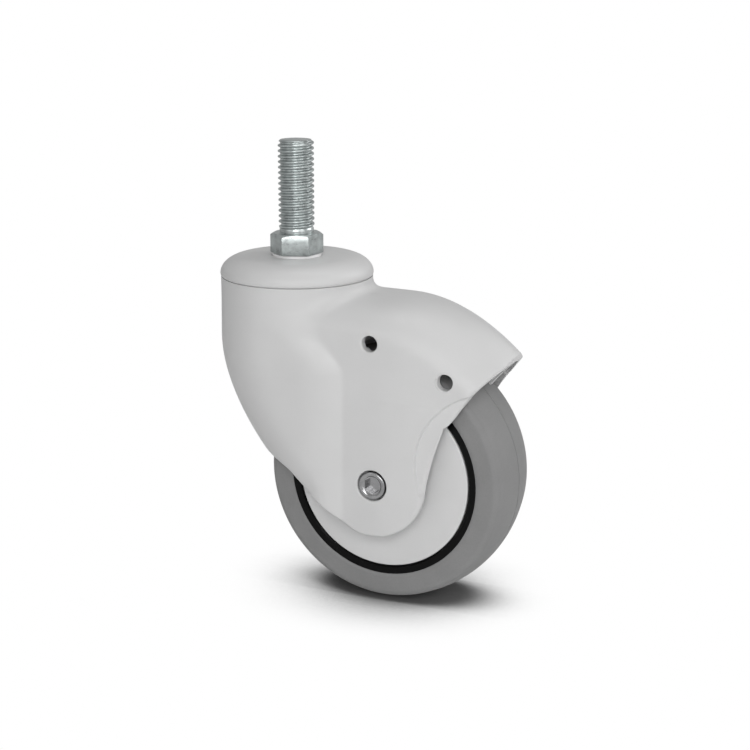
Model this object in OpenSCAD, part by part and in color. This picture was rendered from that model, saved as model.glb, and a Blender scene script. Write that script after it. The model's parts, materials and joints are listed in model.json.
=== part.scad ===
// Swivel castor with a threaded stem, a moulded fork housing and a wheel of 80 mm class.
// Origin: centre of the hexagon's top face, where the stem enters what it is screwed into.
// +Z runs up the stem, +X points to the trailing side, Y runs along the axle.

/* [Stem] */
// Outside diameter of the stem's thread
stem_d = 12; // [10.5:0.1:14]
// Length of the stem above the hexagon
stem_len = 30; // [20:1:60]
// Chamfer at the tip of the stem
stem_chamfer = 0.8; // [0.3:0.1:1.5]
// Width of the hexagon across its flats
hex_af = 15; // [14:0.25:19]
// Height of the hexagon
hex_h = 5.8; // [4:0.1:8]
// Depth of the chamfer on the hexagon's corners
hex_bevel = 0.6; // [0.2:0.1:1.2]
// Turn of the hexagon about the stem
hex_turn = 22.3; // [0:0.1:60]
// Diameter of the round neck under the hexagon
neck_d = 11.6; // [11:0.1:13]

/* [Overall] */
// Height from the floor to the top of the hexagon
castor_h = 116.7; // [112:0.1:130]
// Distance from the stem's axis back to the axle
trail = 36.6; // [33:0.1:42]
// Distance from the hexagon's top down to the seam under the cap
seam_drop = 14; // [13:0.1:18]

/* [Cap] */
// Radius of the cap
cap_r = 25; // [24.9:0.05:26]
// Height of the cap above the seam
cap_h = 6.6; // [5:0.1:7.2]
// Height of the cap's rounded edge
cap_round = 5.6; // [3:0.1:6]
// Wall of the cap
cap_wall = 2.2; // [1.6:0.1:3]
// Outside radius of the seal around the neck
seal_r = 8; // [7.4:0.1:9]
// Height that the seal stands above the cap
seal_rise = 1; // [0.6:0.1:1.2]

/* [Housing] */
// Radius of the round head
head_r = 24.8; // [22:0.1:26]
// Half width of the fork over its cheeks
cheek_y = 22.2; // [20.5:0.1:24]
// Half width of the slot that the wheel runs in
slot_y = 15.5; // [14.6:0.1:17]
// Gap between the tread and the slot's arch
slot_gap = 3; // [2:0.1:5]
// Gap between the tread and the crown of the guard
guard_gap = 16.3; // [12:0.1:18]
// Wall of the guard
guard_wall = 2.6; // [2:0.1:4]
// Thickness of the rib under the guard
rib_t = 1.8; // [1:0.1:3]
// Radius of the lobe around the axle
lobe_r = 17; // [14:0.1:19]
// Half width of the guard at its tip
guard_tip_y = 19.3; // [18.5:0.1:21]
// Radius of the curve that forms the rear edge
rear_sweep_r = 68; // [60:0.1:80]
// Angle at which the rear edge leaves the lobe
rear_angle = -7.9; // [-12:0.1:-2]
// Radius of the curve that forms the front edge
front_sweep_r = 154; // [130:1:200]
// Angle at which the front edge leaves the lobe
front_angle = 57; // [54:0.1:60]
// Distance that the nose has moved back where it reaches the axle's level
nose_rake = 20; // [16:0.1:22]
// Distance from the axle forward to the middle of the column's back curve
column_back = 23.2; // [18:0.1:25]
// Flare of the column at its shoulder
column_flare = 1.2; // [0:0.1:1.5]
// Narrowing of the column from its shoulder to the lobe
column_taper = 1.9; // [0:0.1:2]
// Radius of the fillet between the head and the guard
neck_fillet = 3.5; // [2:0.1:4]
// Rounding of the housing's cut edges
edge_r = 1.6; // [0.8:0.1:2.2]
// Depth of the recess along the cheek's rear edge
crescent_depth = 0.6; // [0.2:0.1:1]
// Softness of the crease between the column and the cheek
crease_soft = 1.4; // [0.6:0.1:2.4]
// Depth of the arch that the guard's sides curve through
arch_depth = 14.8; // [13:0.1:16]
// Radius of the accessory holes in the cheeks
hole_r = 2.6; // [1.5:0.1:3.2]
// Distance of the front accessory hole from the axle
hole_front_dist = 46; // [40:0.1:49]
// Angle of the front accessory hole above the axle
hole_front_angle = 91; // [80:0.5:100]
// Distance of the rear accessory hole from the axle
hole_rear_dist = 42.6; // [36:0.1:47]
// Angle of the rear accessory hole above the axle
hole_rear_angle = 56.5; // [52:0.5:75]

/* [Wheel] */
// Diameter of the wheel at the middle of the tread
wheel_d = 83; // [76:0.5:86]
// Half width of the tyre
tyre_y = 14; // [12.9:0.1:14.2]
// Radius of the tread's crown across the tyre
tread_crown_r = 42; // [30:1:90]
// Rounding of the tyre's shoulders
shoulder_r = 2.4; // [1:0.1:4]
// Radius where the tyre ends on the wheel's face
rim_r = 32; // [31:0.1:33.5]
// Radius of the wheel's cover disc
cover_r = 29.2; // [26:0.1:30]
// Distance of the cover's outer face from the middle of the wheel
cover_y = 13.6; // [13.3:0.1:14]
// Thickness of the cover disc
cover_t = 1.5; // [1:0.1:2]
// Thickness of the wheel's web
web_t = 4; // [3:0.5:8]
// Number of ribs on each side of the web
web_ribs = 12; // [6:1:16]
// Thickness of each rib
web_rib_t = 1.8; // [1:0.1:3]

/* [Bearings] */
// Bore of each ball bearing
bearing_bore = 10; // [9:0.1:10.6]
// Outside diameter of each ball bearing
bearing_od = 26; // [24:0.1:28]
// Width of each ball bearing
bearing_w = 8; // [7:0.1:8.4]
// Diameter of the balls
ball_d = 4.763; // [4:0.01:5]
// Number of balls in each bearing
ball_n = 8; // [6:1:8]
// Distance between the two bearings of the swivel head
swivel_gap = 2; // [1.5:0.1:3]
// Distance between the two bearings of the wheel
wheel_gap = 7.6; // [7:0.1:7.8]

/* [Axle] */
// Thread diameter of the axle's screws
screw_d = 6; // [4:0.1:7]
// Head diameter of the axle's screws
screw_head_d = 9; // [8:0.1:9.6]
// Head height of the axle's screws
screw_head_h = 3.8; // [3:0.1:4.2]
// Width across flats of the socket in the head
socket_af = 5; // [3:0.5:6]
// Length of screw that reaches into the axle tube
screw_grip = 11; // [8:1:14]
// Depth that the axle tube enters each cheek
tube_seat = 1.5; // [1:0.1:2]
// Radius of the side bushes beside the hub
bush_r = 7; // [6.4:0.1:7.3]

/* [Fits] */
// Running clearance between a ball and its race
race_clear = 0.03; // [0.01:0.01:0.08]
// Clearance of a ring on its seat
seat_clear = 0.02; // [0.01:0.01:0.05]
// Clearance between the seal and the turning neck
seal_clear = 0.25; // [0.1:0.05:0.4]
// Clearance around the screw heads
head_clear = 0.5; // [0.2:0.05:0.7]

/* [Hidden] */
eps = 0.01;

// Places of the axle, the seam and the wheel
wheel_r = wheel_d / 2;
axle_x = trail;
axle_z = wheel_r - castor_h;
seam_z = -seam_drop;
slot_r = wheel_r + slot_gap;
guard_r = wheel_r + guard_gap;
roof_z = axle_z + guard_r;

// Places of the swivel head's pieces, from the seam down
shank_r = bearing_bore / 2;
bearing_r = bearing_od / 2;
upper_z = seam_z - 1.5 - bearing_w / 2;
lower_z = upper_z - bearing_w - swivel_gap;
head_floor_z = lower_z - bearing_w / 2;
washer_t = 1;
washer_r = 8;
ring_t = 1;
ring_r = 8.2;
groove_depth = 0.4;
stem_end_z = head_floor_z - washer_t - ring_t - 1.4;
head_floor_r = 11;

// Places of the wheel's bearings along the axle
near_y = -(wheel_gap + bearing_w) / 2;
far_y = -near_y;
hub_y = far_y + bearing_w / 2;
tube_end_y = slot_y + tube_seat;
head_seat_y = cheek_y + 0.1 - screw_head_h;

function smooth(t) = let (c = min(1, max(0, t))) c * c * (3 - 2 * c);
function mix(a, b, t) = a + (b - a) * t;
function clamp(v, low, high) = max(low, min(high, v));
function soft_max(a, b, k) = (a + b + sqrt((a - b) * (a - b) + k * k)) / 2;

// Ball bearing about Z, centred on the origin, in pieces.
race_r = ball_d / 2 + race_clear;
pitch_r = (shank_r + bearing_r) / 2;
land = ball_d * 0.2;
shield_r = 0.35;

module outer_ring_shape() {
    rotate_extrude($fn = 96)
        difference() {
            translate([pitch_r + land, -bearing_w / 2])
                square([bearing_r - pitch_r - land, bearing_w]);
            translate([pitch_r, 0])
                circle(r = race_r, $fn = 48);
            translate([bearing_r, bearing_w / 2])
                rotate(45)
                    square(shield_r, center = true);
            translate([bearing_r, -bearing_w / 2])
                rotate(45)
                    square(shield_r, center = true);
        }
}

module inner_ring_shape() {
    bore_r = shank_r + seat_clear;
    rotate_extrude($fn = 96)
        difference() {
            translate([bore_r, -bearing_w / 2])
                square([pitch_r - land - bore_r, bearing_w]);
            translate([pitch_r, 0])
                circle(r = race_r, $fn = 48);
        }
}

module cage_shape() {
    cage_t = 1.1;
    cage_low = ball_d / 2 + 1.1;
    cage_high = ball_d * 0.2;
    difference() {
        rotate_extrude($fn = 96)
            translate([pitch_r - cage_t / 2, -cage_low])
                square([cage_t, cage_low + cage_high]);
        for (i = [0 : ball_n - 1])
            rotate([0, 0, i * 360 / ball_n])
                translate([pitch_r - 2, 0, 0])
                    rotate([0, 90, 0])
                        cylinder(r = ball_d / 2 + 0.12, h = 4, $fn = 32);
    }
}

module balls_shape() {
    for (i = [0 : ball_n - 1])
        rotate([0, 0, i * 360 / ball_n])
            translate([pitch_r, 0, 0])
                sphere(d = ball_d, $fn = 32);
}

module at_swivel(z) {
    translate([0, 0, z])
        children();
}

module at_axle(y) {
    translate([axle_x, y, axle_z])
        rotate([-90, 0, 0])
            children();
}

// Stem: thread, hexagon, neck and shank turned from one bar.
module stem() {
    stem_r = stem_d / 2;
    hex_r = hex_af / sqrt(3);
    bevel_r = hex_af / 2 + 0.15;
    bevel_h = (hex_r - bevel_r) * tan(30);
    groove_z = head_floor_z - washer_t;
    color([0.72, 0.74, 0.73])
        union() {
            cylinder(r = stem_r, h = stem_len - stem_chamfer, $fn = 64);
            translate([0, 0, stem_len - stem_chamfer])
                cylinder(r1 = stem_r, r2 = stem_r - stem_chamfer, h = stem_chamfer, $fn = 64);
            intersection() {
                translate([0, 0, -hex_h])
                    rotate([0, 0, hex_turn])
                        cylinder(r = hex_r, h = hex_h, $fn = 6);
                rotate_extrude($fn = 96)
                    polygon([
                        [0, -hex_h], [bevel_r, -hex_h], [hex_r, -hex_h + bevel_h],
                        [hex_r, -bevel_h], [bevel_r, 0], [0, 0]
                    ]);
            }
            rotate_extrude($fn = 96)
                polygon([
                    [0, -hex_h + eps],
                    [neck_d / 2, -hex_h + eps],
                    [neck_d / 2, upper_z + bearing_w / 2],
                    [shank_r, upper_z + bearing_w / 2],
                    [shank_r, groove_z],
                    [shank_r - groove_depth, groove_z],
                    [shank_r - groove_depth, groove_z - ring_t - 0.1],
                    [shank_r, groove_z - ring_t - 0.1],
                    [shank_r, stem_end_z + 0.5],
                    [shank_r - 0.5, stem_end_z],
                    [0, stem_end_z]
                ]);
        }
}

// Cap: domed disc that closes the head, with a spigot over the upper bearing.
module cap() {
    spigot_r = bearing_r - 0.1;
    spigot_t = 1.8;
    spigot_z = upper_z + bearing_w / 2;
    rebate = 0.3;
    top_z = seam_z + cap_h;
    edge_z = top_z - cap_round;
    edge_w = cap_round * 1.45;
    ledge_r = seal_r - 1.2;
    seal_seat_z = top_z - 1;
    outline = [
        [cap_r - 2 * rebate, seam_z],
        [cap_r - rebate, seam_z + rebate],
        [cap_r, seam_z + 2 * rebate],
        for (a = [0 : 9 : 90]) [
            cap_r - edge_w * (1 - cos(a)),
            edge_z + cap_round * sin(a)
        ],
        [seal_r + 0.05, top_z],
        [seal_r + 0.05, seal_seat_z],
        [ledge_r, seal_seat_z],
        [ledge_r, top_z - cap_wall],
        [cap_r - edge_w, top_z - cap_wall],
        [cap_r - cap_wall - 1.4, seam_z + cap_wall],
        [cap_r - cap_wall - 1.4, seam_z]
    ];
    color([0.72, 0.72, 0.72])
        rotate_extrude($fn = 128) {
            polygon(outline);
            translate([spigot_r - spigot_t, spigot_z])
                square([spigot_t, top_z - cap_wall + 0.2 - spigot_z]);
        }
}

module neck_seal() {
    top_z = seam_z + cap_h;
    inner_r = neck_d / 2 + seal_clear;
    color([0.86, 0.86, 0.86])
        rotate_extrude($fn = 96)
            polygon([
                [inner_r, top_z - 1], [seal_r, top_z - 1],
                [seal_r, top_z + seal_rise - 0.4], [seal_r - 0.5, top_z + seal_rise],
                [inner_r, top_z + seal_rise]
            ]);
}

// Housing outline, seen from the side. The rear edge and the front edge are arcs
// that leave the lobe around the axle in a tangent.
rear_c = (rear_sweep_r + lobe_r) * [cos(rear_angle), sin(rear_angle)];
front_c = (front_sweep_r - lobe_r) * [cos(front_angle), sin(front_angle)];
front_join_z = axle_z - lobe_r * sin(front_angle);
rear_join_z = axle_z + lobe_r * sin(rear_angle);
rear_c_dist = rear_sweep_r + lobe_r;
tip_turn = acos((guard_r * guard_r + rear_c_dist * rear_c_dist - rear_sweep_r * rear_sweep_r)
    / (2 * guard_r * rear_c_dist));
tip_angle = rear_angle + tip_turn;
tip_z = axle_z + guard_r * sin(tip_angle);
bottom_z = axle_z - lobe_r;

function lobe_dx(z) = sqrt(max(0, lobe_r * lobe_r - pow(z - axle_z, 2)));
function rear_cut_x(z) = z < rear_join_z ? axle_x + lobe_dx(z)
    : axle_x + rear_c[0] - sqrt(max(0, pow(rear_sweep_r, 2) - pow(z - axle_z - rear_c[1], 2)));
function front_cut_x(z) = z < front_join_z ? axle_x - lobe_dx(z)
    : axle_x + front_c[0] - sqrt(max(0, pow(front_sweep_r, 2) - pow(z - axle_z - front_c[1], 2)));
function guard_x(z) = axle_x + sqrt(max(0, guard_r * guard_r - pow(z - axle_z, 2)));
function rear_x(z) = z >= roof_z ? reach_x(z) : min(guard_x(z), rear_cut_x(z));

// Column: a stadium in plan whose round nose moves back towards the wheel on the way down.
nose_top_z = seam_z - 18;
nose_end_z = axle_z + 5;
back_top_z = seam_z - 7;
shoulder_z = seam_z - 26;
column_x = axle_x - column_back;
function nose_x(z) = nose_rake * pow(clamp((nose_top_z - z) / (nose_top_z - axle_z), 0, 1.1), 1.9);
function back_x(z) = max(nose_x(z), column_x * smooth((back_top_z - z) / (back_top_z - shoulder_z)));
function front_x(z) = mix(nose_x(z) - head_r, front_cut_x(z), smooth((nose_end_z + 5 - z) / 9));
function side_y(z) = head_r + column_flare * smooth((seam_z - 8 - z) / 16)
    - column_taper * clamp((shoulder_z - z) / (shoulder_z - bottom_z), 0, 1);
function column_gap(x, y, z) =
    let (off = max(nose_x(z) - x, x - back_x(z), 0))
    (norm([off / head_r, y / side_y(z)]) - 1) * head_r;

// Half width of the cheek and the guard. The guard is boxy at the head and an arch at its tip.
function panel_y(x) = mix(cheek_y, guard_tip_y, smooth((x - axle_x) / (0.55 * guard_r)));
function guard_gap_to(x, y, z) =
    let (
        dist = norm([x - axle_x, z - axle_z]),
        angle = atan2(z - axle_z, x - axle_x),
        box = smooth((angle - 48) / 56),
        depth = mix(arch_depth, 11.5, box),
        power = mix(1.7, 2.6, box),
        crown = angle > 90 ? guard_r / sin(clamp(angle, 90, 150)) : guard_r,
        u = max(0, (dist - crown + depth) / depth)
    )
    (pow(pow(u, power) + pow(y / panel_y(x), power), 1 / power) - 1) * mix(panel_y(x), depth, min(1, u));

// Both together, with a fillet that is wide where the guard's crown leaves the head.
function skin_gap(x, y, z) =
    let (column = column_gap(x, y, z))
    x < back_x(z) ? column
        : let (
            guard = guard_gap_to(x, y, z),
            wide = mix(crease_soft, neck_fillet, smooth((z - seam_z + 20) / 12)),
            soft = wide * smooth((x - back_x(z)) / 8) + 0.01
        )
        min(column, guard) - pow(max(0, soft - abs(column - guard)), 2) / (4 * soft);
function skin_y(x, z, low = 0, high = 30, i = 0) =
    let (y = (low + high) / 2)
    i > 15 ? y : skin_gap(x, y, z) < 0 ? skin_y(x, z, y, high, i + 1) : skin_y(x, z, low, y, i + 1);
function reach_x(z, low = 0, high = 60, i = 0) =
    let (x = (low + high) / 2)
    i > 15 ? x : skin_gap(x, 0, z) < 0 ? reach_x(z, x, high, i + 1) : reach_x(z, low, x, i + 1);

// Shallow recess between an arc on the cheek and the rear edge.
crescent_r = 24.3;
crescent_c = [axle_x + lobe_r - 3 + crescent_r, axle_z + 8.2];
function crescent(x, z) =
    let (inside = crescent_r - norm([x - crescent_c[0], z - crescent_c[1]]))
    crescent_depth * smooth(inside / 1.6 + 0.5);

function edge_drop(d) = d >= edge_r ? 0 : edge_r - sqrt(edge_r * edge_r - pow(edge_r - max(0, d), 2));
function half_y(x, z) =
    let (
        front_d = z < nose_end_z ? (x - front_x(z)) * 0.72 : edge_r,
        rear_d = z < tip_z ? (rear_x(z) - x) * 0.8 : edge_r,
        low_d = z - bottom_z,
        edge = edge_drop(min(front_d, rear_d, low_d))
    )
    max(0.12, skin_y(x, z) - edge - crescent(x, z));

// Rows of the housing's skin from the seam down to the bottom of the lobe.
head_rows = [for (t = [0 : 7]) mix(seam_z, roof_z, sin(t * 90 / 7.4))];
guard_steps = 13;
guard_rows = [
    for (i = [0 : guard_steps])
        axle_z + guard_r * sin(mix(88.5, tip_angle, i / guard_steps))
];
leg_steps = 13;
rim_rows = [for (d = [5, 3.6, 2.2, 1, 0, -1.2, -2.4, -3.6]) nose_end_z + d];
leg_rows = concat([for (i = [1 : leg_steps - 1]) mix(tip_z, nose_end_z + 5, i / leg_steps)], rim_rows);
lobe_steps = 11;
lobe_rows = [for (i = [1 : lobe_steps]) axle_z - lobe_r * sin(i * 84 / lobe_steps)];
skin_rows = concat(head_rows, guard_rows, leg_rows, lobe_rows);

edge_steps = [0, 0.25, 0.8, 1.8];
nose_cols = 8;
side_cols = 3;
rear_cols = 9;
function leg_xs(z) =
    let (
        steps = min(1, (rear_x(z) - front_x(z)) / 12) * edge_steps,
        x0 = front_x(z) + steps[3], x3 = rear_x(z) - steps[3], len = x3 - x0,
        x1 = clamp(nose_x(z), x0 + 0.1 * len, x0 + 0.6 * len),
        x2 = clamp(back_x(z) + 11.2, x1 + 0.2 * len, x3 - 0.2 * len),
        fold = 0.06 * len,
        start = acos(clamp((x1 - x0) / head_r, 0.05, 1))
    )
    concat(
        [for (i = [0 : 2]) front_x(z) + steps[i]],
        [for (i = [0 : nose_cols - 1]) x1 - (x1 - x0) * cos(mix(start, 90, i / nose_cols)) / cos(start)],
        [for (i = [0 : side_cols - 1]) mix(x1, x2 - fold, i / side_cols)],
        [for (i = [-2 : 2]) x2 + i * fold / 2],
        [for (i = [1 : rear_cols]) x2 + fold + (x3 - x2 - fold) * sin(i * 90 / rear_cols)],
        [for (i = [2 : -1 : 0]) rear_x(z) - steps[i]]
    );

// Above the crown the columns keep their places along the head's sides.
crown_xs = leg_xs(roof_z - 0.01);
function row_xs(z) =
    z < roof_z ? leg_xs(z)
        : let (keep = 0.85 * head_r, end = crown_xs[len(crown_xs) - 1])
        [for (x = crown_xs) x < keep ? x : mix(keep, rear_x(z), (x - keep) / (end - keep))];

module housing_skin() {
    side_n = nose_cols + side_cols + rear_cols + 11;
    loop_n = 2 * side_n;
    row_n = len(skin_rows);
    points = [
        for (z = skin_rows)
            let (xs = row_xs(z), ys = [for (x = xs) half_y(x, z)])
            each concat(
                [for (i = [0 : side_n - 1]) [xs[i], -ys[i], z]],
                [for (i = [side_n - 1 : -1 : 0]) [xs[i], ys[i], z]]
            )
    ];
    walls = [
        for (r = [0 : row_n - 2], c = [0 : loop_n - 1])
            let (d = (c + 1) % loop_n, a = r * loop_n, b = a + loop_n)
            each [[a + c, a + d, b + d], [a + c, b + d, b + c]]
    ];
    top = [for (c = [loop_n - 1 : -1 : 0]) c];
    low = [for (c = [0 : loop_n - 1]) (row_n - 1) * loop_n + c];
    polyhedron(points = points, faces = concat(walls, [top], [low]), convexity = 10);
}

// Hollow under the guard, turned about the axle, with a rib along its middle.
module guard_hollow() {
    roof_r = guard_r - guard_wall;
    start = guard_r - arch_depth;
    wide = guard_tip_y - guard_wall;
    steps = 10;
    side = [
        for (i = [0 : steps])
            let (r = mix(slot_r - 1, roof_r, sin(i * 90 / steps)), u = (r - start) / (roof_r - start))
            [r, wide * pow(max(0, 1 - pow(max(0, u), 1.7)), 1 / 1.7)]
    ];
    at_axle(0)
        rotate([0, 0, -98])
            rotate_extrude(angle = 90, $fn = 96)
                difference() {
                    polygon(concat(
                        side,
                        [for (i = [steps - 1 : -1 : 0]) [side[i][0], -side[i][1]]]
                    ));
                    translate([slot_r, -rib_t / 2])
                        square([guard_r, rib_t]);
                }
}

module accessory_hole(dist, angle) {
    x = axle_x + dist * cos(angle);
    z = axle_z + dist * sin(angle);
    outer_y = skin_y(x, z);
    for (side = [-1, 1])
        translate([x, 0, z])
            rotate([-90 * side, 0, 0]) {
                translate([0, 0, slot_y - 5])
                    cylinder(r = hole_r, h = cheek_y, $fn = 48);
                translate([0, 0, slot_y - 5])
                    cylinder(r = hole_r + 1.6, h = outer_y - guard_wall - slot_y + 5, $fn = 48);
            }
}

// Straight lower edge of the wall in front of the wheel, between the legs.
module nose_edge() {
    edge_z = nose_end_z + 3;
    translate([-head_r, -slot_y - 0.3, bottom_z])
        cube([axle_x - slot_r + 2.9 + head_r, 2 * slot_y + 0.6, edge_z - bottom_z]);
}

module housing() {
    color([0.82, 0.82, 0.82])
        difference() {
            housing_skin();
            at_axle(0)
                cylinder(r = slot_r, h = 2 * slot_y, center = true, $fn = 128);
            nose_edge();
            guard_hollow();
            accessory_hole(hole_front_dist, hole_front_angle);
            accessory_hole(hole_rear_dist, hole_rear_angle);
            translate([0, 0, head_floor_z])
                cylinder(r = bearing_r + seat_clear, h = seam_z - head_floor_z + 1, $fn = 96);
            translate([0, 0, axle_z + 20])
                cylinder(r = head_floor_r, h = head_floor_z - axle_z - 19, $fn = 96);
            at_axle(0) {
                cylinder(r = bearing_bore / 2 + seat_clear, h = 2 * tube_end_y, center = true, $fn = 64);
                cylinder(r = screw_d / 2 + 0.25, h = 2 * cheek_y + 4, center = true, $fn = 64);
            }
            for (side = [-1, 1])
                at_axle(side * (head_seat_y + 3))
                    cylinder(r = screw_head_d / 2 + head_clear, h = 6, center = true, $fn = 64);
        }
}

// Swivel head: two bearings, their spacers and what holds the stem in them.
module outer_spacer() {
    color([0.6, 0.6, 0.6])
        at_swivel(upper_z - bearing_w / 2 - swivel_gap)
            difference() {
                cylinder(r = bearing_r, h = swivel_gap, $fn = 96);
                translate([0, 0, -eps])
                    cylinder(r = bearing_r - 2, h = swivel_gap + 2 * eps, $fn = 96);
            }
}

module inner_spacer() {
    color([0.6, 0.6, 0.6])
        at_swivel(upper_z - bearing_w / 2 - swivel_gap)
            difference() {
                cylinder(r = shank_r + 2.2, h = swivel_gap, $fn = 96);
                translate([0, 0, -eps])
                    cylinder(r = shank_r + seat_clear, h = swivel_gap + 2 * eps, $fn = 96);
            }
}

module retaining_washer() {
    color([0.66, 0.67, 0.67])
        at_swivel(head_floor_z - washer_t)
            difference() {
                cylinder(r = washer_r, h = washer_t, $fn = 96);
                translate([0, 0, -eps])
                    cylinder(r = shank_r + seat_clear, h = washer_t + 2 * eps, $fn = 96);
            }
}

module retaining_ring() {
    ring_z = head_floor_z - washer_t - ring_t;
    open_w = 4;
    color([0.2, 0.2, 0.21])
        at_swivel(ring_z)
            difference() {
                union() {
                    cylinder(r = ring_r - 1, h = ring_t, $fn = 96);
                    for (side = [-1, 1])
                        translate([ring_r - 1.6, side * (open_w / 2 + 1), 0])
                            cylinder(r = 1.5, h = ring_t, $fn = 32);
                }
                translate([0, 0, -eps])
                    cylinder(r = shank_r - groove_depth + seat_clear, h = ring_t + 2 * eps, $fn = 96);
                translate([0, -open_w / 2, -eps])
                    cube([ring_r + 2, open_w, ring_t + 2 * eps]);
                for (side = [-1, 1])
                    translate([ring_r - 1.6, side * (open_w / 2 + 1), -eps])
                        cylinder(r = 0.6, h = ring_t + 2 * eps, $fn = 24);
            }
}

// Wheel: a moulded core with a web and ribs, and the tyre moulded over its rim.
core_y = tyre_y - 0.3;
seat_y = tyre_y - 2;
seat_r = rim_r + 2.4;
rim_wall = 4;

module wheel_core() {
    hub_r = bearing_r + 3;
    lip_r = bearing_r - 1.6;
    rim_in = rim_r - rim_wall;
    cover_seat_y = cover_y - cover_t;
    color([0.07, 0.07, 0.07])
        at_axle(0) {
            rotate_extrude($fn = 128)
                union() {
                    polygon([
                        [lip_r, -wheel_gap / 2], [bearing_r + seat_clear, -wheel_gap / 2],
                        [bearing_r + seat_clear, -hub_y - 0.1], [hub_r, -hub_y + 0.6],
                        [hub_r, -web_t / 2], [rim_in, -web_t / 2],
                        [rim_in, -cover_seat_y], [cover_r + 0.25, -cover_seat_y],
                        [cover_r + 0.25, -core_y + 0.4], [cover_r + 0.7, -core_y],
                        [rim_r, -core_y], [seat_r, -seat_y],
                        [seat_r, seat_y], [rim_r, core_y],
                        [cover_r + 0.7, core_y], [cover_r + 0.25, core_y - 0.4],
                        [cover_r + 0.25, cover_seat_y], [rim_in, cover_seat_y],
                        [rim_in, web_t / 2], [hub_r, web_t / 2],
                        [hub_r, hub_y - 0.6], [bearing_r + seat_clear, hub_y + 0.1],
                        [bearing_r + seat_clear, wheel_gap / 2], [lip_r, wheel_gap / 2]
                    ]);
                }
            difference() {
                for (i = [0 : web_ribs - 1])
                    rotate([0, 0, i * 360 / web_ribs])
                        translate([hub_r - 0.5, -web_rib_t / 2, -cover_seat_y + 1.6])
                            cube([rim_in - hub_r + 1, web_rib_t, 2 * cover_seat_y - 3.2]);
                cylinder(r = hub_r - 0.4, h = 2 * hub_y, center = true, $fn = 64);
            }
        }
}

module tyre() {
    edge_y = tyre_y - shoulder_r;
    crown_x = wheel_r - tread_crown_r;
    tread_end = asin((edge_y - 0.4) / tread_crown_r);
    shoulder_x = crown_x + sqrt(pow(tread_crown_r, 2) - pow(edge_y, 2)) - shoulder_r;
    near_half = [
        [seat_r, -seat_y], [rim_r, -core_y], [rim_r + 0.2, -tyre_y],
        [shoulder_x, -tyre_y],
        for (a = [15 : 15 : 75]) [
            shoulder_x + shoulder_r * sin(a),
            -edge_y - shoulder_r * cos(a)
        ],
        for (i = [-4 : 0]) [
            crown_x + tread_crown_r * cos(i * tread_end / 4),
            tread_crown_r * sin(i * tread_end / 4)
        ]
    ];
    n = len(near_half);
    color([0.52, 0.52, 0.52])
        at_axle(0)
            rotate_extrude($fn = 128)
                polygon(concat(near_half, [for (i = [n - 2 : -1 : 0]) [near_half[i][0], -near_half[i][1]]]));
}

// Cover disc: a flat face with a rounded edge and a snap ring behind it.
module cover_shape() {
    snap_r = rim_r - rim_wall - 0.1;
    color([0.84, 0.84, 0.84])
        rotate_extrude($fn = 128)
            polygon([
                [bush_r + 0.7, cover_y - cover_t], [snap_r - 1.4, cover_y - cover_t],
                [snap_r - 1.4, cover_y - cover_t - 1.5], [snap_r, cover_y - cover_t - 1.5],
                [snap_r, cover_y - cover_t], [cover_r, cover_y - cover_t],
                [cover_r, cover_y - 0.4], [cover_r - 0.4, cover_y],
                [bush_r + 0.7, cover_y]
            ]);
}

module near_cover() {
    at_axle(0)
        mirror([0, 0, 1])
            cover_shape();
}

module far_cover() {
    at_axle(0)
        cover_shape();
}

// Axle: a tube clamped between the cheeks by a screw at each end.
module sleeve(inner, outer, from_y, to_y) {
    at_axle(from_y)
        difference() {
            cylinder(r = outer, h = to_y - from_y, $fn = 96);
            translate([0, 0, -eps])
                cylinder(r = inner, h = to_y - from_y + 2 * eps, $fn = 96);
        }
}

module hub_spacer() {
    color([0.6, 0.6, 0.6])
        sleeve(shank_r + seat_clear, pitch_r - land - 0.2, -wheel_gap / 2, wheel_gap / 2);
}

module near_bush() {
    color([0.75, 0.76, 0.76])
        sleeve(shank_r + seat_clear, bush_r, -slot_y, -hub_y);
}

module far_bush() {
    color([0.75, 0.76, 0.76])
        sleeve(shank_r + seat_clear, bush_r, hub_y, slot_y);
}

module axle_tube() {
    color([0.66, 0.67, 0.67])
        sleeve(screw_d / 2 + seat_clear, shank_r, -tube_end_y, tube_end_y);
}

module axle_screw_shape() {
    head_r = screw_head_d / 2;
    socket_r = socket_af / sqrt(3);
    socket_depth = 2.6;
    shank_len = head_seat_y - tube_end_y + screw_grip;
    color([0.75, 0.76, 0.76])
        translate([0, 0, head_seat_y])
            difference() {
                union() {
                    cylinder(r = head_r, h = screw_head_h - 0.5, $fn = 64);
                    translate([0, 0, screw_head_h - 0.5])
                        cylinder(r1 = head_r, r2 = head_r - 0.5, h = 0.5, $fn = 64);
                    translate([0, 0, -shank_len])
                        cylinder(r = screw_d / 2, h = shank_len + 0.5, $fn = 64);
                }
                translate([0, 0, screw_head_h - socket_depth])
                    cylinder(r = socket_r, h = socket_depth + 1, $fn = 6);
                translate([0, 0, screw_head_h - 0.5])
                    cylinder(r1 = socket_af / 2, r2 = socket_r + 0.4, h = 0.5 + eps, $fn = 64);
            }
}

module axle_screws() {
    at_axle(0) {
        axle_screw_shape();
        mirror([0, 0, 1])
            axle_screw_shape();
    }
}

steel = [0.78, 0.79, 0.8];
brass = [0.72, 0.6, 0.35];

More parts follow.
